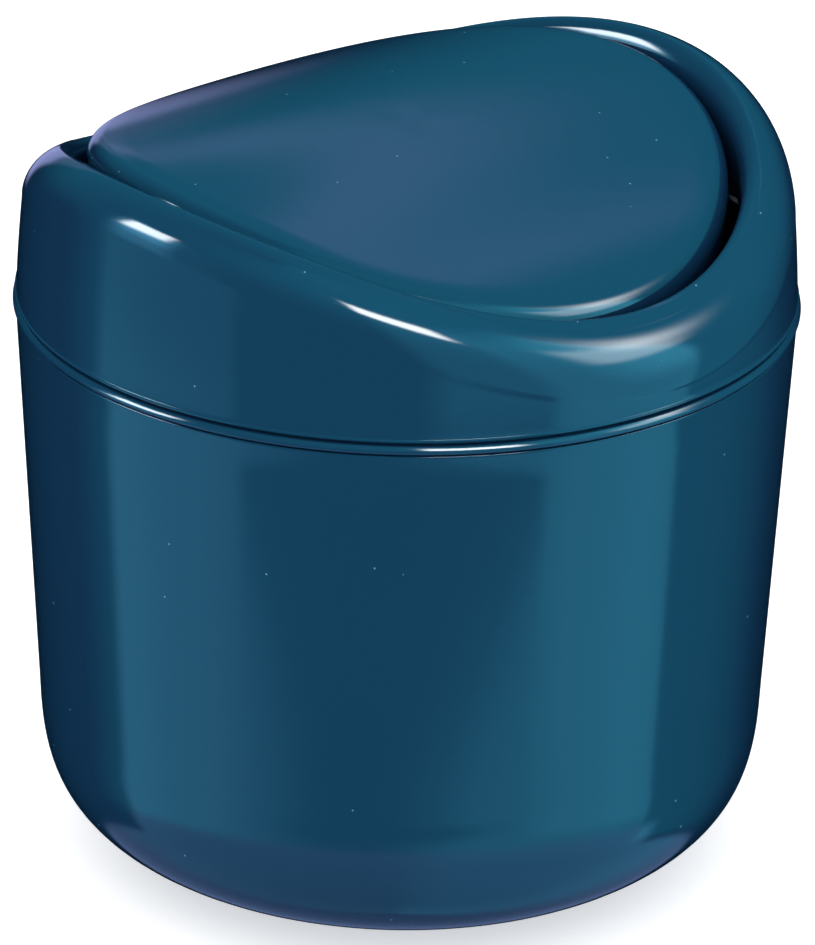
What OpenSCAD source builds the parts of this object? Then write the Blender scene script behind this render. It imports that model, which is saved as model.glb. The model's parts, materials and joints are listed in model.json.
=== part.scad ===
// Countertop trash can with a swing lid: a round bucket, a beaded rim ring,
// a collar whose top is cut by a barrel arch, and a round flap that swings in it.
// +Z is up, the origin is the middle of the base, and the flap's axle lies along X.

/* [Bucket] */
// Outer radius of the bucket at its rim
body_rim_r = 78.7; // [60:0.1:95]
// Height of the bucket from the table to its rim
body_h = 117; // [90:0.1:200]
// How far the wall tapers in from the rim to the rounded corner
body_taper = 4.5; // [1:0.1:8]
// Height at which the rounded corner starts
corner_h = 36.1; // [20:0.1:50]
// How far the rounded corner reaches in from the wall
corner_w = 56.7; // [30:0.1:58]
// Squareness of the corner, where 2 is an ellipse
corner_power = 3.03; // [2:0.01:4]
// Depth of the corner's curve that is cut away flat to stand on
base_cut = 0.8; // [0.4:0.1:2]
// Wall thickness of the bucket
body_wall = 2; // [1.4:0.1:3]

/* [Rim ring] */
// How far the ring's bead stands out from the bucket's rim
bead_proud = 0.6; // [0.4:0.1:2.5]
// Height of the bead
bead_h = 1.8; // [1.4:0.1:4]
// Height of the thin neck between the bucket's rim and the bead
neck_h = 0.4; // [0.2:0.1:1]
// Height of the groove between the bead and the collar
groove_h = 0.7; // [0.3:0.1:1.5]
// Depth of the groove and the neck behind the collar's foot
groove_d = 1; // [0.6:0.1:1.3]
// Thickness of the ring's skirt and spigot
ring_wall = 1.6; // [1.2:0.1:2.5]
// Length of the skirt that plugs into the bucket
skirt_h = 8; // [5:0.5:14]
// Height of the spigot that the collar sits on
spigot_h = 6; // [4:0.5:10]
// Gap between the skirt and the bucket's mouth
skirt_gap = 0.3; // [0.2:0.05:0.6]
// Gap between the spigot and the collar
spigot_gap = 0.1; // [0.05:0.05:0.3]

/* [Collar] */
// How far the collar's foot stands in from the bead
collar_inset = 0.7; // [0.4:0.1:2]
// Height of the collar from its foot to its crest
collar_h = 37.9; // [32:0.1:60]
// Inward lean of the collar's wall at its foot, in degrees
collar_draft = 2; // [1:0.1:6]
// Radius of the wall's slight outward bow
collar_bow_r = 335; // [250:5:900]
// How far the mouth dips from its crest to its low sides
mouth_dip = 19.4; // [12:0.1:22]
// How far the rolled shoulder reaches down the wall and in along the top
shoulder_reach = 7.4; // [5:0.1:9]
// Width of the shoulder in plan, from the collar's foot to the mouth at the axle
shoulder_w = 13.2; // [12:0.1:15]
// How much farther out the mouth lies at its low sides than at the axle
mouth_oval = 2; // [0:0.1:2.5]
// Wall thickness of the collar
collar_wall = 1.9; // [1.4:0.1:2.5]
// Width in plan over which the mouth's lip rolls down at the axle
lip_w = 4.4; // [3:0.1:4.6]
// How many times as deep as wide the lip's roll is
lip_steepness = 1.6; // [1:0.1:2]
// Depth of the wall that turns down inside the mouth
return_h = 13; // [11:0.5:16]
// Thickness of the wall that turns down inside the mouth
return_wall = 1.7; // [1.4:0.1:2.5]
// How far the collar's foot flares out
flare = 0.3; // [0.1:0.05:0.6]
// Height of the foot's straight edge below the flare
edge_h = 0.5; // [0.3:0.1:1]
// Height over which the flare runs into the wall
flare_h = 0.7; // [0.4:0.1:1.5]

/* [Flap] */
// Gap in plan between the flap and the mouth at the axle
flap_gap = 1.2; // [1:0.1:4]
// How far the flap's crest lies below the collar's crest
flap_drop = 1.9; // [0:0.1:4]
// How far the flap dips from its crest to its low sides
flap_dip = 15.6; // [8:0.1:20]
// Rounding of the flap's edge
flap_round = 4.2; // [3:0.1:7]
// Thickness of the flap
flap_wall = 1.8; // [1.4:0.1:2.5]
// Straight depth of the flap's rim below its rounded edge
flap_rim_h = 5; // [4:0.5:7]
// Angle off level at which the flap hangs in the pose shown, in degrees
flap_tilt = 3.5; // [-8:0.5:8]

/* [Axle] */
// Radius of the two stub axles
pin_r = 2.2; // [1.6:0.1:2.5]
// Running clearance round each stub axle
pin_gap = 0.08; // [0.02:0.01:0.1]
// Depth of the axle below the flap's crest
pivot_drop = 5.5; // [5:0.1:8]
// How far each stub axle reaches into the collar
pin_reach = 3; // [2:0.1:3.5]
// Clear depth beyond the tip of each stub axle
pin_end_gap = 0.5; // [0.3:0.1:1]
// Wall of the bosses round the bearing holes and the axles' roots
boss_wall = 1.5; // [1:0.1:2]
// Length of the boss at the root of each stub axle
root_len = 5; // [3:0.5:8]

/* [Hidden] */
colour = "#1a4d6e";
$fn = 128;

// Steps round the arched shells, and along the curves of their sections
around = 80;
curve_steps = 10;
wall_steps = 3;
round_steps = 4;
lip_steps = 7;
corner_steps = 20;

// How far a cutting shape runs past what it cuts
overrun = 1;

// Heights above the table
bead_z = body_h + neck_h;
groove_z = bead_z + bead_h;
foot_z = groove_z + groove_h;
crest_z = foot_z + collar_h;
flap_z = crest_z - flap_drop;
pivot_z = flap_z - pivot_drop;

// Radii
bead_r = body_rim_r + bead_proud;
collar_r = bead_r - collar_inset;
mouth_r = collar_r - shoulder_w;
flap_r = mouth_r - flap_gap;
arch_r = dip_radius(mouth_r + mouth_oval, mouth_dip);
flap_arch_r = dip_radius(flap_r, flap_dip);
boss_r = pin_r + pin_gap + boss_wall;

function reversed(points) = [for (i = [len(points) - 1 : -1 : 0]) points[i]];

// Radius of a barrel arch that dips by dip at distance y from its crest
function dip_radius(y, dip) = (y * y + dip * dip) / (2 * dip);

// Bucket

function body_r(z) = body_rim_r - body_taper * (body_h - z) / (body_h - corner_h);

// Rounded corner from the wall to the floor, set in from the outer face and ending at floor_z
function corner_curve(inset, floor_z) = [
    for (i = [0 : corner_steps])
        let (a = 90 * i / corner_steps)
        [body_r(corner_h) - corner_w + (corner_w - inset) * pow(cos(a), 2 / corner_power),
         corner_h - (corner_h - floor_z) * pow(sin(a), 2 / corner_power)]
];

module body() {
    color(colour)
        intersection() {
            rotate_extrude()
                polygon(concat(
                    [[body_rim_r, body_h]],
                    corner_curve(0, -base_cut),
                    [[0, -base_cut], [0, body_wall]],
                    reversed(corner_curve(body_wall, body_wall)),
                    [[body_rim_r - body_wall, body_h]]
                ));
            cylinder(r = body_rim_r + overrun, h = body_h + overrun);
        }
}

// Rim ring

function skirt_r() = body_r(body_h - skirt_h) - body_wall - skirt_gap;

function spigot_r(h) = collar_face_r(h) - collar_wall - spigot_gap;

module rim_ring() {
    bead_mid = bead_z + bead_h / 2;
    neck_r = collar_r - groove_d;
    bead_root = bead_r - bead_h / 2;
    color(colour)
        rotate_extrude()
            polygon(concat(
                [[skirt_r() - ring_wall, body_h - skirt_h],
                 [skirt_r(), body_h - skirt_h],
                 [skirt_r(), body_h],
                 [neck_r, body_h],
                 [neck_r, bead_z]],
                [for (i = [0 : curve_steps])
                    let (a = -90 + 180 * i / curve_steps)
                    [bead_root + bead_h / 2 * cos(a), bead_mid + bead_h / 2 * sin(a)]],
                [[neck_r, groove_z],
                 [neck_r, foot_z],
                 [spigot_r(0), foot_z],
                 [spigot_r(spigot_h), foot_z + spigot_h],
                 [spigot_r(spigot_h) - ring_wall, foot_z + spigot_h]]
            ));
}

// Collar

// Radius of the collar's outer face at height h above its foot
function collar_face_r(h) = collar_r - tan(collar_draft) * h - h * h / (2 * collar_bow_r);

// Height of a barrel arch at distance y from the axle
function arch_z(y, top, radius) = top - radius + sqrt(radius * radius - y * y);

// Radius of the mouth's wall, where s is the sine of the angle round from the axle
function mouth_wall_r(s) = mouth_r + mouth_oval * s * s;

// Width over which the lip rolls down, from a round start to the oval mouth
function roll_w(s) = mouth_r + lip_w - mouth_wall_r(s);

// Radius at which the collar's face would meet the arch, found by repeated steps
function corner_r(s, inset, steps = 8, r = collar_r) =
    steps == 0 ? r
    : corner_r(s, inset, steps - 1,
        collar_face_r(arch_z(r * s, crest_z - inset, arch_r - inset) - foot_z) - inset);

// Section of the collar's outer skin, or of its inner one, in the plane at angle phi:
// up the wall, round the shoulder, along the arch to the lip and down the lip in lip_n steps
function skin(phi, inset, h_start, lip_n) =
    let (
        s = abs(sin(phi)),
        rk = corner_r(s, inset),
        top = crest_z - inset,
        radius = arch_r - inset,
        zk = arch_z(rk * s, top, radius),
        lean = atan(tan(collar_draft) + (zk - foot_z) / collar_bow_r),
        slope = atan(rk * s * s / sqrt(radius * radius - rk * rk * s * s)),
        half_turn = (90 - slope - lean) / 2,
        round_r = shoulder_reach / tan(half_turn) - inset,
        reach = round_r * tan(half_turn),
        ra = rk + reach * sin(lean),
        za = zk - reach * cos(lean),
        rb = rk - reach * cos(slope),
        rc = ra - round_r * cos(lean),
        zc = za - round_r * sin(lean),
        r_lip = mouth_r + lip_w,
        top_z = function(r) r > rb
            ? zc + sqrt(round_r * round_r - (r - rc) * (r - rc))
            : arch_z(r * s, top, radius)
    )
    concat(
        [for (i = [0 : wall_steps - 1])
            let (h = h_start + (za - foot_z - h_start) * i / wall_steps)
            [collar_face_r(h) - inset, foot_z + h]],
        [for (i = [0 : curve_steps])
            let (r = ra + (r_lip - ra) * (1 - cos(90 * i / curve_steps)))
            [r, top_z(r)]],
        [for (i = [1 : 1 : lip_n])
            let (a = 90 * i / lip_n, r = r_lip - roll_w(s) * sin(a))
            [r, top_z(r) - lip_steepness * roll_w(s) * (1 - cos(a))]]
    );

function curve_point(a, b, c, t) = a * (1 - t) * (1 - t) + b * 2 * t * (1 - t) + c * t * t;

// Closed section of the collar in the plane at angle phi
function collar_section(phi) =
    let (
        outer = skin(phi, 0, edge_h + flare_h, lip_steps),
        inner = skin(phi, collar_wall, 0, 0),
        s = sin(phi),
        wall_r = mouth_wall_r(s),
        back_r = wall_r + return_wall,
        lip_z = arch_z(wall_r * s, crest_z, arch_r),
        edge_z = foot_z + edge_h,
        edge = [collar_r + flare, edge_z]
    )
    concat(
        [[collar_r + flare, foot_z]],
        [for (i = [0 : round_steps - 1])
            curve_point(edge, [collar_face_r(edge_h), edge_z], outer[0], i / round_steps)],
        outer,
        [[wall_r, lip_z - return_h],
         [back_r, lip_z - return_h],
         [back_r, lip_z - lip_steepness * roll_w(s)]],
        reversed(inner)
    );

// Closed shell that joins the same section at every step round the axis
module ring_shell(sections) {
    turns = len(sections);
    size = len(sections[0]);
    points = [for (k = [0 : turns - 1]) each
        [for (p = sections[k]) [p[0] * cos(360 * k / turns), p[0] * sin(360 * k / turns), p[1]]]];
    faces = [for (k = [0 : turns - 1], i = [0 : size - 1]) each
        let (
            a = k * size + i,
            b = k * size + (i + 1) % size,
            c = (k + 1) % turns * size + (i + 1) % size,
            d = (k + 1) % turns * size + i
        )
        [[a, b, c], [a, c, d]]];
    polyhedron(points = points, faces = faces);
}

// A cylinder along X at the height of the axle, from radius r1 out to r2
module axle_rod(r1, r2, r, side) {
    translate([side * r1, 0, pivot_z])
        rotate([0, side * 90, 0])
            cylinder(r = r, h = r2 - r1, $fn = 48);
}

module collar() {
    bore_end = mouth_r + pin_reach + pin_end_gap;
    color(colour)
        difference() {
            union() {
                ring_shell([for (k = [0 : around - 1]) collar_section(360 * k / around)]);
                for (side = [-1, 1])
                    axle_rod(mouth_r + return_wall / 2, bore_end + boss_wall / 2, boss_r, side);
            }
            for (side = [-1, 1])
                axle_rod(mouth_r - overrun, bore_end, pin_r + pin_gap, side);
        }
}

// Flap

// Section of the flap's top or underside from near its middle to its edge
function flap_skin(phi, inset) =
    let (
        s = sin(phi),
        edge = flap_r - inset,
        round_r = flap_round - inset,
        flat_r = edge - round_r,
        top = flap_z - inset,
        radius = flap_arch_r - inset
    )
    concat(
        [for (i = [1 : wall_steps]) let (r = flat_r * i / wall_steps) [r, arch_z(r * s, top, radius)]],
        [for (i = [1 : curve_steps / 2])
            let (a = 90 * i / (curve_steps / 2), r = flat_r + round_r * sin(a))
            [r, arch_z(r * s, top, radius) - round_r * (1 - cos(a))]]
    );

// Half section of the flap at angle phi, from the middle of its top to that of its underside
function flap_section(phi) =
    let (
        rim_z = arch_z(flap_r * sin(phi), flap_z, flap_arch_r) - flap_round - flap_rim_h
    )
    concat(
        flap_skin(phi, 0),
        [[flap_r, rim_z], [flap_r - flap_wall, rim_z]],
        reversed(flap_skin(phi, flap_wall))
    );

// Closed shell that joins half sections round the axis to a point at each end
module cap_shell(sections, top_z, under_z) {
    turns = len(sections);
    size = len(sections[0]);
    top = turns * size;
    under = top + 1;
    points = concat(
        [for (k = [0 : turns - 1]) each
            [for (p = sections[k]) [p[0] * cos(360 * k / turns), p[0] * sin(360 * k / turns), p[1]]]],
        [[0, 0, top_z], [0, 0, under_z]]
    );
    faces = concat(
        [for (k = [0 : turns - 1], i = [0 : size - 2]) each
            let (a = k * size + i, d = (k + 1) % turns * size + i)
            [[a, d + 1, a + 1], [a, d, d + 1]]],
        [for (k = [0 : turns - 1]) [top, (k + 1) % turns * size, k * size]],
        [for (k = [0 : turns - 1]) [under, k * size + size - 1, (k + 1) % turns * size + size - 1]]
    );
    polyhedron(points = points, faces = faces);
}

module flap() {
    color(colour)
        translate([0, 0, pivot_z])
            rotate([flap_tilt, 0, 0])
                translate([0, 0, -pivot_z]) {
                    cap_shell(
                        [for (k = [0 : around - 1]) flap_section(360 * k / around)],
                        flap_z,
                        flap_z - flap_wall
                    );
                    for (side = [-1, 1]) {
                        axle_rod(flap_r - flap_wall / 2, mouth_r + pin_reach, pin_r, side);
                        axle_rod(flap_r - root_len, flap_r - flap_wall / 2, boss_r, side);
                    }
                }
}

body();
rim_ring();
collar();
flap();
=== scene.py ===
import json
import math

import bpy
from mathutils import Matrix, Vector


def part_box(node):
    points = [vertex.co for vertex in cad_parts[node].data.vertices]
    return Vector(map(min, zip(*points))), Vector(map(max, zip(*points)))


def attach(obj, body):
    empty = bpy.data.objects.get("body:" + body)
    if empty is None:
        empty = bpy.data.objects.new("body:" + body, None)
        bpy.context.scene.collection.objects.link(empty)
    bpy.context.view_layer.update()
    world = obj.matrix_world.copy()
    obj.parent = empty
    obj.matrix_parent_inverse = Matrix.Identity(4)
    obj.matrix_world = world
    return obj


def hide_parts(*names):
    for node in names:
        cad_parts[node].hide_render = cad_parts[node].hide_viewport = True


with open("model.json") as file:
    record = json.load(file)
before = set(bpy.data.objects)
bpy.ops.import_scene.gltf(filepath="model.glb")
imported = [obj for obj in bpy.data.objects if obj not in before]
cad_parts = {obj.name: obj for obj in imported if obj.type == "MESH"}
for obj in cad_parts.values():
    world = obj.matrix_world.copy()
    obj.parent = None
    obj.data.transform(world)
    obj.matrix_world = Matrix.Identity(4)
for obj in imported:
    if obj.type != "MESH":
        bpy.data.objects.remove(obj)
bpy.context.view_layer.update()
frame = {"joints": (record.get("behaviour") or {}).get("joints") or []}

mm = 0.001
pi = math.pi

# Places that the frame gives, in millimetres
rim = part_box("body")[1] / mm
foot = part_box("collar")[0] / mm
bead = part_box("rim_ring")[1] / mm
hinge = next(joint for joint in frame["joints"] if joint["name"] == "flap_swing")
axleHeight = hinge["pos_m"][2] / mm


print("camera")

photoCamera = {
    "azimuth": -42.36,  # degrees round from the -Y side
    "elevation": 23.87,
    "roll": 1.01,
    "distance": 1.55,
    "target": (0.62, -0.57, 78.8),  # mm
    "frameWidth": 815,
    "focalPixels": 7620,
    "sensor": 36,
    "offset": 0.5,  # pixels that the picture moves right and down
    "clipEnd": 50,  # m
}


def addCamera(spec):
    turn = (
        Matrix.Rotation(math.radians(spec["azimuth"]), 4, "Z")
        @ Matrix.Rotation(pi / 2 - math.radians(spec["elevation"]), 4, "X")
        @ Matrix.Rotation(math.radians(spec["roll"]), 4, "Z")
    )
    target = Vector(spec["target"]) * mm
    back = turn @ Vector((0, 0, 1))
    data = bpy.data.cameras.new("photoCamera")
    data.sensor_fit = "HORIZONTAL"
    data.sensor_width = spec["sensor"]
    data.lens = spec["focalPixels"] * spec["sensor"] / spec["frameWidth"]
    data.shift_x = -spec["offset"] / spec["frameWidth"]
    data.shift_y = spec["offset"] / spec["frameWidth"]
    data.clip_end = spec["clipEnd"]
    camera = bpy.data.objects.new("photoCamera", data)
    camera.matrix_world = Matrix.Translation(target + back * spec["distance"]) @ turn
    bpy.context.scene.collection.objects.link(camera)
    bpy.context.scene.camera = camera


addCamera(photoCamera)


# Modelling by hand: a ring of vertices is drawn out step by step, and closed at the end

moulding = {
    "poleRadius": 1,  # mm, the smallest ring of a closed face, which is merged to a point
    "near": 0.01,  # mm
    "mergeWithin": 0.001,  # mm
    "smoothBelow": 35,  # degrees
    "rodSides": 64,
    "rodEdge": 0.25,
    "rodEdgeSteps": 3,
}


def cleanSlate():
    if bpy.context.object and bpy.context.object.mode != "OBJECT":
        bpy.ops.object.mode_set(mode="OBJECT")
    bpy.ops.object.select_all(action="DESELECT")


def drawRings(name, section, count):
    # section is a list of (radius, height) in mm, count is the number of vertices round the axis
    cleanSlate()
    radius, height = section[0]
    bpy.ops.mesh.primitive_circle_add(vertices=count, radius=radius * mm, location=(0, 0, height * mm))
    piece = bpy.context.object
    piece.name = name
    piece.data.name = name
    bpy.ops.object.transform_apply(location=True)
    bpy.ops.object.mode_set(mode="EDIT")
    bpy.ops.mesh.select_mode(type="VERT")
    bpy.ops.mesh.select_all(action="SELECT")
    for nextRadius, nextHeight in section[1:]:
        bpy.ops.mesh.extrude_region_move(
            TRANSFORM_OT_translate={"value": (0, 0, (nextHeight - height) * mm)})
        grow = nextRadius / radius
        bpy.ops.transform.resize(value=(grow, grow, 1), center_override=(0, 0, nextHeight * mm))
        radius, height = nextRadius, nextHeight
    return piece


def joinEnds():
    bpy.ops.mesh.select_all(action="DESELECT")
    bpy.ops.mesh.select_mode(type="EDGE")
    bpy.ops.mesh.select_non_manifold()
    bpy.ops.mesh.bridge_edge_loops()
    bpy.ops.mesh.select_mode(type="VERT")


def closePole(piece, height):
    # merges the smallest ring at that height to a point on the axis
    bpy.ops.object.mode_set(mode="EDIT")
    bpy.ops.mesh.select_all(action="DESELECT")
    bpy.ops.object.mode_set(mode="OBJECT")
    near = moulding["near"] * mm
    for vertex in piece.data.vertices:
        inside = vertex.co.xy.length < moulding["poleRadius"] * mm + near
        vertex.select = inside and abs(vertex.co.z - height * mm) < near
    bpy.ops.object.mode_set(mode="EDIT")
    bpy.ops.mesh.merge(type="CENTER")


def pointNormals(piece):
    if piece.mode != "EDIT":
        bpy.ops.object.mode_set(mode="EDIT")
    bpy.ops.mesh.select_all(action="SELECT")
    bpy.ops.mesh.remove_doubles(threshold=moulding["mergeWithin"] * mm)
    bpy.ops.mesh.normals_make_consistent(inside=False)
    bpy.ops.object.mode_set(mode="OBJECT")


def shapeRings(piece, sections, count):
    # moves every vertex of a drawn stack to the section that belongs to its angle
    bpy.ops.object.mode_set(mode="OBJECT")
    for vertex in piece.data.vertices:
        angle = math.atan2(vertex.co.y, vertex.co.x)
        radius, height = sections(angle)[vertex.index // count]
        vertex.co = Vector((radius * math.cos(angle), radius * math.sin(angle), height)) * mm


def applyModifier(piece, kind, **settings):
    cleanSlate()
    piece.select_set(True)
    bpy.context.view_layer.objects.active = piece
    modifier = piece.modifiers.new(kind.title(), kind)
    for key, value in settings.items():
        setattr(modifier, key, value)
    bpy.ops.object.modifier_apply(modifier=modifier.name)


def addRod(start, end, radius, side, edge=moulding["rodEdge"]):
    # a cylinder along the axle, from distance start to distance end on one side
    cleanSlate()
    bpy.ops.mesh.primitive_cylinder_add(
        vertices=moulding["rodSides"], radius=radius * mm, depth=(end - start) * mm,
        location=(side * (start + end) / 2 * mm, 0, axleHeight * mm), rotation=(0, pi / 2, 0))
    rod = bpy.context.object
    bpy.ops.object.transform_apply(location=True, rotation=True)
    applyModifier(rod, "BEVEL", width=edge * mm, segments=moulding["rodEdgeSteps"], limit_method="ANGLE")
    return rod


def combine(piece, tool, operation):
    applyModifier(piece, "BOOLEAN", object=tool, operation=operation, solver="EXACT")
    bpy.data.objects.remove(tool)


def smooth(piece):
    cleanSlate()
    piece.select_set(True)
    bpy.context.view_layer.objects.active = piece
    bpy.ops.object.shade_smooth_by_angle(angle=math.radians(moulding["smoothBelow"]))


def arc(center, radius, start, end, steps):
    return [(center[0] + radius * math.cos(math.radians(start + (end - start) * i / steps)),
             center[1] + radius * math.sin(math.radians(start + (end - start) * i / steps)))
            for i in range(steps + 1)]


def curve(a, b, c, steps):
    # the points of a curve that leaves a towards b and reaches c from b
    points = []
    for i in range(steps + 1):
        t = i / steps
        points.append(tuple(a[k] * (1 - t) ** 2 + b[k] * 2 * t * (1 - t) + c[k] * t * t for k in (0, 1)))
    return points


print("bucket")

bucket = {
    "rimRadius": rim.x,
    "height": rim.z,
    "taper": 4.5,
    "cornerHeight": 36.1,
    "cornerReach": 56.7,
    "cornerPower": 3.03,
    "cornerEase": 7.7,  # mm of drop over which the wall's lean turns into the corner
    "easeStart": 10,  # mm below the corner's start, where the ease begins to go back to nothing
    "cornerSteps": 44,
    "wallSteps": 12,
    "baseCut": 0.8,
    "baseEdge": 0.9,
    "wall": 2,
    "rimEdge": 0.25,
    "edgeSteps": 4,
    "count": 256,
}


def makeBucket(spec):
    waist = spec["rimRadius"] - spec["taper"]
    top, corner = spec["height"], spec["cornerHeight"]
    edge = spec["rimEdge"]
    pole = moulding["poleRadius"]
    lean = spec["taper"] / (top - corner)
    power = 2 / spec["cornerPower"]

    def wallRadius(height):
        return spec["rimRadius"] - spec["taper"] * (top - height) / (top - corner)

    def cornerCurve(inset, floor):
        # leaves the wall at the wall's own lean, so that a reflection runs on without a kink
        points = []
        steps = spec["cornerSteps"]
        for i in range(steps + 1):
            t = i / steps
            a = pi / 2 * (3 * t * t - 2 * t ** 3)
            radius = waist - spec["cornerReach"] + (spec["cornerReach"] - inset) * abs(math.cos(a)) ** power
            drop = (corner - floor) * math.sin(a) ** power
            late = min(max((drop - spec["easeStart"]) / (corner - spec["easeStart"]), 0), 1)
            pulled = math.exp(-drop / spec["cornerEase"]) - 1 + late * late * (3 - 2 * late)
            points.append((radius + lean * spec["cornerEase"] * pulled, corner - drop))
        return points

    steps = spec["wallSteps"]
    heights = [top - 2 * edge] + [top - (top - corner) * i / steps for i in range(1, steps)]
    outer = [(wallRadius(height), height) for height in heights]
    outside = [point for point in cornerCurve(0, -spec["baseCut"]) if point[1] > 0]
    base = outside[-1][0] - spec["baseEdge"]
    inner = [(radius - spec["wall"], height) for radius, height in reversed(outer)]
    section = (
        arc((spec["rimRadius"] - edge, top - edge), edge, 90, 0, spec["edgeSteps"])
        + outer
        + outside
        + [(base, 0), (base / 2, 0), (pole, 0), (pole, spec["wall"]), (base / 2, spec["wall"])]
        + cornerCurve(spec["wall"], spec["wall"])[-2::-1]
        + inner
        + arc((spec["rimRadius"] - spec["wall"] + edge, top - edge), edge, 180, 90, spec["edgeSteps"])
    )
    piece = drawRings("bucketShell", section, spec["count"])
    joinEnds()
    for height in (0, spec["wall"]):
        closePole(piece, height)
    pointNormals(piece)
    smooth(piece)
    return piece


bucketShell = makeBucket(bucket)


print("rim ring")

rimRing = {
    "beadRadius": bead.x,
    "beadHeight": 1.8,
    "beadFace": ((-90, 33, 0.6), (33, 43, 4.5), (43, 90, 0.8)),  # degrees from and to, and the radius between
    "faceSteps": 8,
    "neckHeight": 0.4,
    "neckRadius": -foot.x - 1.3,
    "grooveHeight": 0.7,
    "skirt": 8,
    "skirtRadius": 75.95,
    "spigot": 6,
    "spigotRadius": (76.6, 76.33),
    "wall": 1.6,
    "edge": 0.2,
    "count": 256,
}


def beadFace(spec, low):
    # arcs that join smoothly: a tight round below, a flatter face above it and a round top
    radius, height = 0, low
    points = [(radius, height)]
    steps = spec["faceSteps"]
    for start, end, size in spec["beadFace"]:
        for i in range(1, steps + 1):
            first, last = (math.radians(start + (end - start) * k / steps) for k in (i - 1, i))
            radius += size * (math.cos(last) - math.cos(first))
            height += size * (math.sin(last) - math.sin(first))
            points.append((radius, height))
    reach = max(radius for radius, height in points)
    stretch = spec["beadHeight"] / (height - low)
    return [(spec["beadRadius"] - reach + radius, low + (height - low) * stretch) for radius, height in points]


def makeRimRing(spec):
    base = rim.z
    beadLow = base + spec["neckHeight"]
    seat = beadLow + spec["beadHeight"] + spec["grooveHeight"]
    skirtLow = base - spec["skirt"]
    lowRadius, highRadius = spec["spigotRadius"]
    edge = spec["edge"]
    section = (
        [(spec["skirtRadius"] - spec["wall"], skirtLow), (spec["skirtRadius"] - edge, skirtLow),
         (spec["skirtRadius"], skirtLow + edge), (spec["skirtRadius"], base), (spec["neckRadius"], base),
         (spec["neckRadius"], beadLow)]
        + beadFace(spec, beadLow)
        + [(spec["neckRadius"], seat - spec["grooveHeight"]), (spec["neckRadius"], seat), (lowRadius, seat),
           (highRadius, seat + spec["spigot"] - edge), (highRadius - edge, seat + spec["spigot"]),
           (highRadius - spec["wall"], seat + spec["spigot"])]
    )
    piece = drawRings("rimRing", section, spec["count"])
    joinEnds()
    pointNormals(piece)
    smooth(piece)
    return piece


rimRingPiece = makeRimRing(rimRing)


print("collar")

collar = {
    "radius": bead.x - 0.7,
    "footHeight": foot.z,
    "height": 37.84,  # a little under the solid's, so that the smooth crest stays inside its box
    "draft": 2,  # degrees
    "bowRadius": 335,
    "mouthRadius": 65.4,
    "mouthOval": 2,
    "mouthDip": 19.4,
    "shoulderReach": 7.4,
    "wall": 1.9,
    "lipWidth": 4.4,
    "lipSteepness": 1.6,
    "returnHeight": 13,
    "returnWall": 1.7,
    "returnRings": (0.7, 0.98),  # how far down the return
    "returnEdge": 0.25,
    "flare": 0.3,
    "flareHeight": 0.7,
    "flareSteps": 5,
    "edgeHeight": 0.5,
    "edgeRound": 0.12,
    "pinReach": 3,
    "endGap": 0.5,
    "boss": 3.78,
    "bossCap": 0.75,
    "bore": 2.28,
    "boreEdge": 0.02,
    "boreOpening": 1,
    "outerSteps": (10, 26, 18),  # up the wall, over the top and down the lip
    "innerSteps": (6, 14, 0),
    "cornerRounds": 12,
    "count": 256,
}


def dipRadius(y, dip):
    return (y * y + dip * dip) / (2 * dip)


def archHeight(y, top, radius):
    return top - radius + math.sqrt(radius * radius - y * y)


def collarFace(height):
    # radius of the collar's face at a height above its foot
    draft = math.tan(math.radians(collar["draft"]))
    return collar["radius"] - draft * height - height ** 2 / (2 * collar["bowRadius"])


def collarArch():
    return dipRadius(collar["mouthRadius"] + collar["mouthOval"], collar["mouthDip"])


def mouthWall(s):
    return collar["mouthRadius"] + collar["mouthOval"] * s * s


def collarSkin(angle, inset, start, steps):
    # up the wall, round the shoulder, along the arch to the lip and down the lip
    wallSteps, topSteps, lipSteps = steps
    s = abs(math.sin(angle))
    base = collar["footHeight"]
    top = base + collar["height"] - inset
    arch = collarArch() - inset
    corner = collar["radius"]
    for _ in range(collar["cornerRounds"]):
        corner = collarFace(archHeight(corner * s, top, arch) - base) - inset
    cornerZ = archHeight(corner * s, top, arch)
    lean = math.atan(math.tan(math.radians(collar["draft"])) + (cornerZ - base) / collar["bowRadius"])
    slope = math.atan(corner * s * s / math.sqrt(arch ** 2 - (corner * s) ** 2))
    halfTurn = (pi / 2 - slope - lean) / 2
    roundRadius = collar["shoulderReach"] / math.tan(halfTurn) - inset
    reach = roundRadius * math.tan(halfTurn)
    lowRadius = corner + reach * math.sin(lean)
    lowZ = cornerZ - reach * math.cos(lean)
    archStart = corner - reach * math.cos(slope)
    centre = (lowRadius - roundRadius * math.cos(lean), lowZ - roundRadius * math.sin(lean))
    lipStart = collar["mouthRadius"] + collar["lipWidth"]
    roll = lipStart - mouthWall(s)

    def topHeight(radius):
        if radius > archStart:
            return centre[1] + math.sqrt(roundRadius ** 2 - (radius - centre[0]) ** 2)
        return archHeight(radius * s, top, arch)

    points = []
    for i in range(wallSteps):
        height = start + (lowZ - base - start) * i / wallSteps
        points.append((collarFace(height) - inset, base + height))
    for i in range(topSteps + 1):
        radius = lowRadius + (lipStart - lowRadius) * (1 - math.cos(pi / 2 * i / topSteps))
        points.append((radius, topHeight(radius)))
    for i in range(1, lipSteps + 1):
        a = pi / 2 * i / lipSteps
        radius = lipStart - roll * math.sin(a)
        points.append((radius, topHeight(radius) - collar["lipSteepness"] * roll * (1 - math.cos(a))))
    return points


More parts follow.
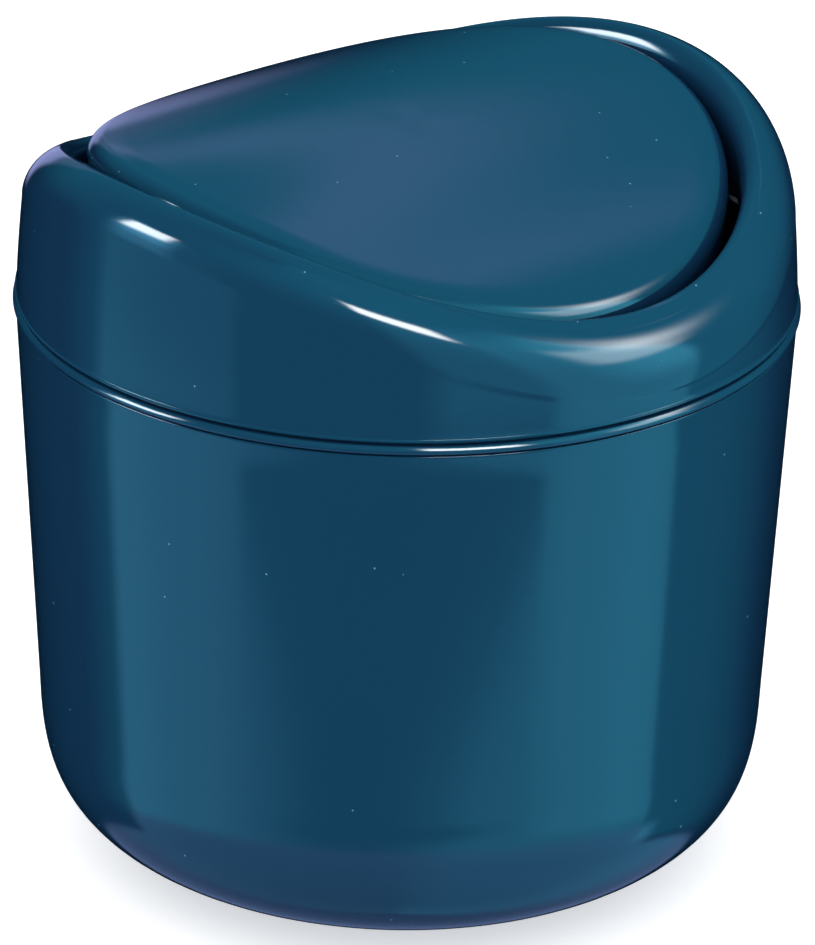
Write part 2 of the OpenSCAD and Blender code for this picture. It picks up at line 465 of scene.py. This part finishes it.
def collarSection(angle):
    spec = collar
    base = spec["footHeight"]
    mouth = mouthWall(math.sin(angle))
    back = mouth + spec["returnWall"]
    lipZ = archHeight(mouth * math.sin(angle), base + spec["height"], collarArch())
    low = lipZ - spec["returnHeight"]
    rollZ = lipZ - spec["lipSteepness"] * (spec["mouthRadius"] + spec["lipWidth"] - mouth)
    outer = collarSkin(angle, 0, spec["edgeHeight"] + spec["flareHeight"], spec["outerSteps"])
    inner = collarSkin(angle, spec["wall"], 0, spec["innerSteps"])
    edgeRadius = spec["radius"] + spec["flare"]
    edgeZ = base + spec["edgeHeight"]
    small = spec["edgeRound"]
    face = (collarFace(spec["edgeHeight"]), edgeZ)
    return (
        [(edgeRadius - small, base), (edgeRadius, base + small), (edgeRadius, edgeZ - small)]
        + curve((edgeRadius - small, edgeZ), face, outer[0], spec["flareSteps"])[:-1]
        + outer
        + [(mouth, lipZ - spec["returnHeight"] * share) for share in spec["returnRings"]]
        + [(mouth + spec["returnEdge"], low), (back, low), (back, rollZ)]
        + inner[::-1]
    )


def makeCollar(spec):
    piece = drawRings("mouthCollar", collarSection(0), spec["count"])
    shapeRings(piece, collarSection, spec["count"])
    bpy.ops.object.mode_set(mode="EDIT")
    joinEnds()
    pointNormals(piece)
    bossStart = spec["mouthRadius"] + spec["returnWall"] / 2
    boreStart = spec["mouthRadius"] - spec["boreOpening"]
    boreEnd = spec["mouthRadius"] + spec["pinReach"] + spec["endGap"]
    for side in (-1, 1):
        combine(piece, addRod(bossStart, boreEnd + spec["bossCap"], spec["boss"], side), "UNION")
        combine(piece, addRod(boreStart, boreEnd, spec["bore"], side, spec["boreEdge"]), "DIFFERENCE")
    smooth(piece)
    return piece


collarPiece = makeCollar(collar)


print("flap")

flap = {
    "radius": 64.2,
    "crest": 155.9,
    "dip": 15.6,
    "round": 3.5,
    "wall": 1.8,
    "rimHeight": 5,
    "rimTop": 3,  # where the rim's own rings start below the turned edge
    "rimEdge": 0.3,
    "archSteps": 15,
    "roundSteps": 12,
    "tilt": 3.5,  # degrees off level
    "pin": 2.2,
    "pinEnd": collar["mouthRadius"] + collar["pinReach"],
    "boss": 3.78,
    "rootLength": 5,
    "count": 256,
}


def flapSkin(angle, inset):
    s = math.sin(angle)
    edge = flap["radius"] - inset
    roundRadius = flap["round"] - inset
    flat = edge - roundRadius
    top = flap["crest"] - inset
    arch = dipRadius(flap["radius"], flap["dip"]) - inset
    pole = moulding["poleRadius"]
    archSteps, roundSteps = flap["archSteps"], flap["roundSteps"]
    points = []
    for i in range(archSteps + 1):
        radius = pole + (flat - pole) * i / archSteps
        points.append((radius, archHeight(radius * s, top, arch)))
    for i in range(1, roundSteps + 1):
        a = pi / 2 * i / roundSteps
        radius = flat + roundRadius * math.sin(a)
        points.append((radius, archHeight(radius * s, top, arch) - roundRadius * (1 - math.cos(a))))
    return points


def flapSection(angle):
    spec = flap
    arch = dipRadius(spec["radius"], spec["dip"])
    edgeZ = archHeight(spec["radius"] * math.sin(angle), spec["crest"], arch) - spec["round"]
    low = edgeZ - spec["rimHeight"]
    outside, inside = spec["radius"], spec["radius"] - spec["wall"]
    rimTop = edgeZ - spec["rimTop"]
    small = spec["rimEdge"]
    return (
        flapSkin(angle, 0)
        + [(outside, rimTop), (outside, low + small), (outside - small, low), (inside + small, low),
           (inside, low + small), (inside, rimTop)]
        + flapSkin(angle, spec["wall"])[::-1]
    )


def makeFlap(spec):
    piece = drawRings("swingFlap", flapSection(0), spec["count"])
    shapeRings(piece, flapSection, spec["count"])
    for height in (spec["crest"], spec["crest"] - spec["wall"]):
        closePole(piece, height)
    pointNormals(piece)
    rimMiddle = spec["radius"] - spec["wall"] / 2
    for side in (-1, 1):
        combine(piece, addRod(spec["radius"] - spec["rootLength"], rimMiddle, spec["boss"], side), "UNION")
        combine(piece, addRod(rimMiddle, spec["pinEnd"], spec["pin"], side), "UNION")
    bpy.ops.object.mode_set(mode="EDIT")
    bpy.ops.mesh.select_all(action="SELECT")
    bpy.ops.transform.rotate(
        value=-math.radians(spec["tilt"]), orient_axis="X", center_override=(0, 0, axleHeight * mm))
    bpy.ops.object.mode_set(mode="OBJECT")
    smooth(piece)
    return piece


flapPiece = makeFlap(flap)


print("materials")


class Wire:
    # one output socket, with the maths that the materials use
    def __init__(self, nodes, socket):
        self.nodes = nodes
        self.socket = socket

    def __add__(self, other):
        return self.nodes.math("ADD", self, other)

    def __sub__(self, other):
        return self.nodes.math("SUBTRACT", self, other)

    def __rsub__(self, other):
        return self.nodes.math("SUBTRACT", other, self)

    def __mul__(self, other):
        return self.nodes.math("MULTIPLY", self, other)

    __radd__ = __add__
    __rmul__ = __mul__

    def step(self, low, high):
        # 0 below low, 1 above high and smooth between them
        return self.nodes.node("MapRange", {"interpolation_type": "SMOOTHSTEP"},
                               {"Value": self, "From Min": low, "From Max": high})

    def band(self, low, high, lowEdge, highEdge):
        # 1 between low and high, with edges that wide
        rise = self.step(low - lowEdge / 2, low + lowEdge / 2)
        return rise * (1 - self.step(high - highEdge / 2, high + highEdge / 2))


class Nodes:
    # the nodes of a material
    def __init__(self, tree):
        self.tree = tree

    def node(self, kind, settings, inputs, output=0):
        item = self.tree.nodes.new("ShaderNode" + kind)
        for key, value in settings.items():
            setattr(item, key, value)
        for key, value in inputs.items():
            self.feed(item.inputs[key], value)
        return Wire(self, item.outputs[output])

    def feed(self, socket, value):
        if isinstance(value, Wire):
            self.tree.links.new(value.socket, socket)
        else:
            socket.default_value = value

    def math(self, operation, *values):
        return self.node("Math", {"operation": operation}, dict(enumerate(values)))


class Surface(Nodes):
    def __init__(self, name):
        self.material = bpy.data.materials.new(name)
        self.material.use_nodes = True
        super().__init__(self.material.node_tree)
        self.shader = self.tree.nodes["Principled BSDF"]

    def mix(self, share, first, second):
        return self.node("Mix", {"data_type": "RGBA"}, {0: share, 6: first, 7: second}, 2)

    def set(self, **inputs):
        for key, value in inputs.items():
            self.feed(self.shader.inputs[key], value)


plastic = {
    "colour": (0.0068, 0.039, 0.094, 1),
    "deeper": (0.0058, 0.035, 0.086, 1),
    "roughness": 0.065,
    "cloudScale": 18,
    "cloudDetail": 4,
    "cloudRoughness": 0.035,
    "peelScale": 420,
    "peelDetail": 2,
    "peelStrength": 0.02,
    "peelDepth": 0.0002,  # m
    "waveScale": 26,
    "waveDetail": 1,
    "waveStrength": 0.05,
    "waveDepth": 0.0004,  # m
    "dustScale": 125,
    "dustRadius": 0.00026,  # m
    "dustCore": 0.6,  # the share of a speck that is solid
    "dustColour": (0.2, 0.42, 0.5, 1),
    "dustCover": 0.75,
    "dustRoughness": 0.4,
}


def mouldedPlastic(name, seed):
    # gloss plastic with faint clouds, orange peel, a slow wave and a few specks of dust
    spec = plastic
    surface = Surface(name)
    place = surface.node("TexCoord", {}, {}, "Object")
    moved = surface.node("Mapping", {}, {"Vector": place, "Location": (seed, seed * 0.7, 0)})
    cloud, peel, wave = (
        surface.node("TexNoise", {}, {
            "Vector": moved, "Scale": spec[kind + "Scale"], "Detail": spec[kind + "Detail"]})
        for kind in ("cloud", "peel", "wave"))
    away = surface.node("TexVoronoi", {}, {"Vector": moved, "Scale": spec["dustScale"]}, "Distance")
    speck = spec["dustRadius"] * spec["dustScale"]
    dust = 1 - away.step(speck * spec["dustCore"], speck)
    colour = surface.mix(cloud, spec["colour"], spec["deeper"])
    slow = surface.node("Bump", {}, {
        "Height": wave, "Strength": spec["waveStrength"], "Distance": spec["waveDepth"]})
    fine = surface.node("Bump", {}, {
        "Height": peel, "Strength": spec["peelStrength"], "Distance": spec["peelDepth"], "Normal": slow})
    surface.set(**{
        "Base Color": surface.mix(dust * spec["dustCover"], colour, spec["dustColour"]),
        "Roughness": spec["roughness"] + cloud * spec["cloudRoughness"] + dust * spec["dustRoughness"],
        "Normal": fine,
    })
    return surface.material


dressed = (  # the piece, its body, its node, its slot and where its pattern starts
    (bucketShell, "bin", "body", "body_plastic", 0.0),
    (rimRingPiece, "lid", "rim_ring", "rim_ring_plastic", 1.3),
    (collarPiece, "lid", "collar", "collar_plastic", 2.9),
    (flapPiece, "flap", "flap", "flap_plastic", 4.1),
)
for piece, body, node, slot, seed in dressed:
    piece.data.materials.clear()
    piece.data.materials.append(mouldedPlastic(piece.name + "Plastic", seed))
    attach(piece, body)
    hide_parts(node)


print("stage and light")

# The shell that only reflections see. Angles are degrees round from the camera and up from level.
# A pair is a step, from 0 at the first angle to 1 at the second.
# Four numbers are a band: where it starts and ends, and how wide each of its soft edges is.
studio = {
    "radius": 60,  # m, so large that a reflection's place doesn't depend on where the surface stands
    "segments": 96,
    "rings": 48,
    "cameraAzimuth": -132.3,  # degrees round from +X
    "aboveTable": (-37, -33),
    "raised": (-22, -16),  # from the panels' low part to their upper part
}

room = {
    "colour": (0.05, 1.0, 1.38),
    "overhead": (10, 65),
    "overheadFrom": 60,  # the azimuth of its brightest side
    "overheadLeast": 0.54,
    "overheadMore": 0.72,
    "front": (-105, 90, 30, 4),
    "frontStrength": 0.42,
    "notBack": (-105, 100, 30, 30),
    "backHeight": (-8, 24),
    "backStrength": 0.28,
    "side": (88, 92),
    "sideFade": (80, 150),
    "sideHeight": (-41, -38),
    "sideLeast": 0.5,
    "sideMore": 0.4,
}

farLight = {  # its azimuths are round from the far side
    "colour": (0.5, 0.42, 1.0),
    "azimuth": (-36, 10, 12, 10),
    "top": 50.6,
    "bendFrom": -40,  # from here round, its top comes down
    "bend": 0.0004,
    "lowEdge": (-5, -1),
    "topEdge": (-0.5, 0.3),
    "strength": 0.75,
    "loss": 0.4,
    "lossFrom": (-12, 4),
    "hazeColour": (0.42, 0.46, 0.9),
    "hazeAzimuth": (5, 18, 3, 6),
    "hazeLow": (-16, 0, 6, 6),
    "hazeLowStrength": 1.1,
    "hazeHigh": (0, 16, 6, 8),
    "hazeHighStrength": 0.3,
}

darkGap = {  # the dark V between the panels' low parts
    "middle": -3.5,
    "width": 780,
    "point": -32.8,
    "flatAbove": -30,
    "edge": 0.35,
}

rightPanel = {
    "colour": (0.16, 1.0, 1.38),
    "upper": (2, 17),
    "upperStrength": 0.62,
    "upperRight": (40, 52),
    "upperRightStrength": 0.63,
    "lower": (-12, 28),
    "lowerStrength": 0.86,
    "lowerRight": (35, 55),
    "lowerRightHeight": (-33.5, -31.5),
    "lowerRightStrength": 0.42,
    "fade": (75, 95),
    "fadeLoss": 0.35,
    "bright": (72, 100, 26, 10),
    "brightHeight": (6, 60, 24, 20),
    "brightStrength": 1.6,
    "end": (88, 91.5),
    "top": (42, 60),
}

leftPanel = {
    "colour": (0.27, 1.0, 1.55),
    "wide": (-100, -42, 7, 50),
    "wideStrength": 0.75,
    "fade": (-28, -12),
    "fadeLoss": 0.6,
    "wideTop": (-12, -2),
    "narrow": (-96, -73, 14, 12),
    "narrowFoot": (-14, 2),
    "narrowFootStrength": 1.2,
    "narrowHead": (4, 18),
    "narrowHeadStrength": 2.2,
    "glow": (-95, -55, 10, 30),
    "glowHeight": (-12, -2),
    "glowStrength": 0.2,
    "top": (30, 39),
}

table = {
    "colour": (0.17, 0.24, 0.47),
    "front": (-102, 97, 8, 8),
    "backEdge": (-42.5, -39.5),
    "strength": 0.7,
    "far": (-75, -42),
    "farStrength": 0.3,
    "edge": (-44, -36),
    "edgeStrength": 0.2,
    "glowColour": (0.05, 0.62, 0.95),
    "glow": (-112, 125, 40, 60),
    "glowRight": (-10, 25),
    "glowRightStrength": 0.5,
    "glowStrength": 0.38,
}

lampColour = (1, 1, 1)
stripLamps = (  # slope is how much lower a lamp gets for each degree round from its pivot
    {"azimuth": (7, 40, 6, 8), "height": (43.5, 53.5, 4, 4), "slope": 0.15, "pivot": 25, "strength": 24},
    {"azimuth": (70, 92, 10, 8), "height": (26, 41, 6, 6), "slope": 0, "pivot": 0, "strength": 4},
    {"azimuth": (-95.5, -75, 5, 5), "height": (21, 36, 8, 4), "slope": -0.35, "pivot": -84, "strength": 18},
)
roundLamp = {"azimuth": 93.5, "height": 39.5, "spread": 5, "strength": 9}


class Studio(Surface):
    # a surface that adds up masks of azimuth and height, each in its own colour
    def __init__(self, name, spec):
        super().__init__(name)
        place = self.node("TexCoord", {}, {}, "Object")
        way = self.node("VectorMath", {"operation": "NORMALIZE"}, {0: place})
        turned = self.node("VectorRotate", {"rotation_type": "Z_AXIS"},
                           {"Vector": way, "Angle": -math.radians(spec["cameraAzimuth"])})
        x, y, z = (self.node("SeparateXYZ", {}, {0: turned}, axis) for axis in range(3))
        self.azimuth = self.math("ARCTAN2", y, x) * (180 / pi)
        self.behind = self.math("WRAP", self.azimuth - 180, 180, -180)  # the azimuth round from the far side
        self.height = self.math("ARCSINE", z) * (180 / pi)
        self.aboveTable = self.height.step(*spec["aboveTable"])
        self.raised = self.height.step(*spec["raised"])
        self.light = (0, 0, 0)

    def glow(self, mask, colour):
        scaled = self.node("VectorMath", {"operation": "SCALE"}, {0: colour, "Scale": mask})
        self.light = self.node("VectorMath", {"operation": "ADD"}, {0: self.light, 1: scaled})

    def facing(self, azimuth):
        # 1 towards that azimuth and 0 away from it
        return self.math("COSINE", (self.azimuth - azimuth) * (pi / 180)) * 0.5 + 0.5

    def spot(self, azimuth, height, spread):
        # a round glow that falls off softly
        across, up = self.azimuth - azimuth, self.height - height
        return self.math("EXPONENT", (across * across + up * up) * (-0.5 / spread ** 2))

    def outsideGap(self, spec):
        # 0 in a gap that narrows to a point below, and 1 to each side of it
        across = self.azimuth - spec["middle"]
        rise = self.math("MINIMUM", self.height, spec["flatAbove"]) - spec["point"]
        return (across * across * (1 / spec["width"]) - rise).step(-spec["edge"], spec["edge"])


def paintRoom(paint, spec):
    a, h = paint.azimuth, paint.height
    overhead = h.step(*spec["overhead"])
    towards = paint.facing(spec["overheadFrom"]) * spec["overheadMore"] + spec["overheadLeast"]
    front = a.band(*spec["front"]) * paint.aboveTable * spec["frontStrength"]
    back = (1 - a.band(*spec["notBack"])) * h.step(*spec["backHeight"]) * spec["backStrength"]
    side = a.step(*spec["side"]) * (1 - a.step(*spec["sideFade"])) * h.step(*spec["sideHeight"])
    side = side * (spec["sideLeast"] + spec["sideMore"] * paint.raised)
    paint.glow(overhead * towards, spec["colour"])
    paint.glow((1 - overhead) * (front + back + side), spec["colour"])


def paintFarLight(paint, spec):
    b, h = paint.behind, paint.height
    turn = paint.math("MAXIMUM", b - spec["bendFrom"], 0)
    over = h - spec["top"] + turn * turn * turn * spec["bend"]
    sheet = over.step(*spec["lowEdge"]) * (1 - over.step(*spec["topEdge"])) * b.band(*spec["azimuth"])
    paint.glow(sheet * (spec["strength"] - b.step(*spec["lossFrom"]) * spec["loss"]), spec["colour"])
    haze = h.band(*spec["hazeLow"]) * spec["hazeLowStrength"]
    haze = haze + h.band(*spec["hazeHigh"]) * spec["hazeHighStrength"]
    paint.glow(b.band(*spec["hazeAzimuth"]) * haze, spec["hazeColour"])


def paintRightPanel(paint, spec, outside):
    a, h = paint.azimuth, paint.height
    upper = a.step(*spec["upper"]) * spec["upperStrength"]
    upper = paint.raised * (upper + a.step(*spec["upperRight"]) * spec["upperRightStrength"])
    right = a.step(*spec["lowerRight"]) * h.step(*spec["lowerRightHeight"]) * spec["lowerRightStrength"]
    lower = a.step(*spec["lower"]) * spec["lowerStrength"] + right
    lower = (1 - paint.raised) * outside * lower * (1 - a.step(*spec["fade"]) * spec["fadeLoss"])
    bright = a.band(*spec["bright"]) * h.band(*spec["brightHeight"]) * spec["brightStrength"]
    edges = (1 - a.step(*spec["end"])) * paint.aboveTable * (1 - h.step(*spec["top"]))
    paint.glow((upper + lower + bright) * edges, spec["colour"])


def paintLeftPanel(paint, spec, outside):
    a, h = paint.azimuth, paint.height
    fade = (1 - h.step(*spec["fade"]) * spec["fadeLoss"]) * (1 - h.step(*spec["wideTop"]))
    wide = outside * a.band(*spec["wide"]) * paint.aboveTable * fade * spec["wideStrength"]
    paint.glow(wide, spec["colour"])
    narrow = h.step(*spec["narrowFoot"]) * spec["narrowFootStrength"]
    narrow = narrow + h.step(*spec["narrowHead"]) * spec["narrowHeadStrength"]
    glow = a.band(*spec["glow"]) * h.step(*spec["glowHeight"]) * spec["glowStrength"]
    paint.glow((a.band(*spec["narrow"]) * narrow + glow) * (1 - h.step(*spec["top"])), spec["colour"])


def paintTable(paint, spec):
    a, h = paint.azimuth, paint.height
    front = a.band(*spec["front"])
    seen = 1 - paint.aboveTable * front - h.step(*spec["backEdge"]) * (1 - front)
    far = spec["farStrength"] * h.step(*spec["far"]) + spec["edgeStrength"] * h.step(*spec["edge"])
    top = seen * (spec["strength"] + far)
    paint.glow(top, spec["colour"])
    shine = a.step(*spec["glowRight"]) * spec["glowRightStrength"] + spec["glowStrength"]
    paint.glow(top * a.band(*spec["glow"]) * shine, spec["glowColour"])


def paintLamps(paint):
    a, h = paint.azimuth, paint.height
    for lamp in stripLamps:
        level = h + (a - lamp["pivot"]) * lamp["slope"]
        paint.glow(a.band(*lamp["azimuth"]) * level.band(*lamp["height"]) * lamp["strength"], lampColour)
    spot = paint.spot(roundLamp["azimuth"], roundLamp["height"], roundLamp["spread"])
    paint.glow(spot * roundLamp["strength"], lampColour)


def paintStudio(spec):
    paint = Studio("studioPaint", spec)
    outside = paint.outsideGap(darkGap)
    paintRoom(paint, room)
    paintFarLight(paint, farLight)
    paintRightPanel(paint, rightPanel, outside)
    paintLeftPanel(paint, leftPanel, outside)
    paintTable(paint, table)
    paintLamps(paint)
    paint.set(**{
        "Base Color": (0, 0, 0, 1),
        "Specular IOR Level": 0.0,
        "Emission Color": paint.light,
        "Emission Strength": 1.0,
    })
    paint.material.cycles.emission_sampling = "NONE"  # the shell is seen in reflections and lights nothing
    return paint.material


def showOnlyTo(piece, **rays):
    for ray in ("camera", "diffuse", "glossy", "transmission", "volume_scatter", "shadow"):
        setattr(piece, "visible_" + ray, rays.get(ray, False))


def addStudio(spec):
    cleanSlate()
    bpy.ops.mesh.primitive_uv_sphere_add(
        segments=spec["segments"], ring_count=spec["rings"], radius=spec["radius"])
    shell = bpy.context.object
    shell.name = "studioShell"
    bpy.ops.object.mode_set(mode="EDIT")
    bpy.ops.mesh.select_all(action="SELECT")
    bpy.ops.mesh.flip_normals()
    bpy.ops.object.mode_set(mode="OBJECT")
    shell.data.materials.append(paintStudio(spec))
    showOnlyTo(shell, glossy=True)


addStudio(studio)


def seenDirectly(nodes):
    # 1 to the camera, to reflections and through glass, and 0 to what scatters light
    camera, glossy, through = (nodes.node("LightPath", {}, {}, "Is " + kind + " Ray")
                               for kind in ("Camera", "Glossy", "Transmission"))
    return nodes.math("MAXIMUM", nodes.math("MAXIMUM", camera, glossy), through)


floorSpec = {
    "size": 12,  # m
    "colour": (0.92, 0.92, 0.92, 1),
    "roughness": 0.9,
    "lift": 0.55,  # white that isn't light on the object, so that the open floor is as white as the world
}


def paintFloor(spec):
    surface = Surface("floorPaint")
    surface.set(**{
        "Base Color": spec["colour"],
        "Roughness": spec["roughness"],
        "Specular IOR Level": 0.0,
        "Emission Color": seenDirectly(surface) * spec["lift"],
        "Emission Strength": 1.0,
    })
    return surface.material


def addFloor(spec):
    cleanSlate()
    bpy.ops.mesh.primitive_plane_add(size=spec["size"], location=(0, 0, 0))
    floor = bpy.context.object
    floor.name = "floor"
    floor.data.materials.append(paintFloor(spec))
    showOnlyTo(floor, camera=True, diffuse=True, shadow=True)


addFloor(floorSpec)


whiteRoom = {
    "colour": (1, 1, 1, 1),
    "strength": 1.0,  # white to the camera and plain light on the object
}


def addWorld(spec):
    world = bpy.data.worlds.new("whiteRoom")
    bpy.context.scene.world = world
    world.use_nodes = True
    background = world.node_tree.nodes["Background"]
    background.inputs["Color"].default_value = spec["colour"]
    background.inputs["Strength"].default_value = spec["strength"]


addWorld(whiteRoom)

bpy.context.scene.view_settings.view_transform = "Standard"
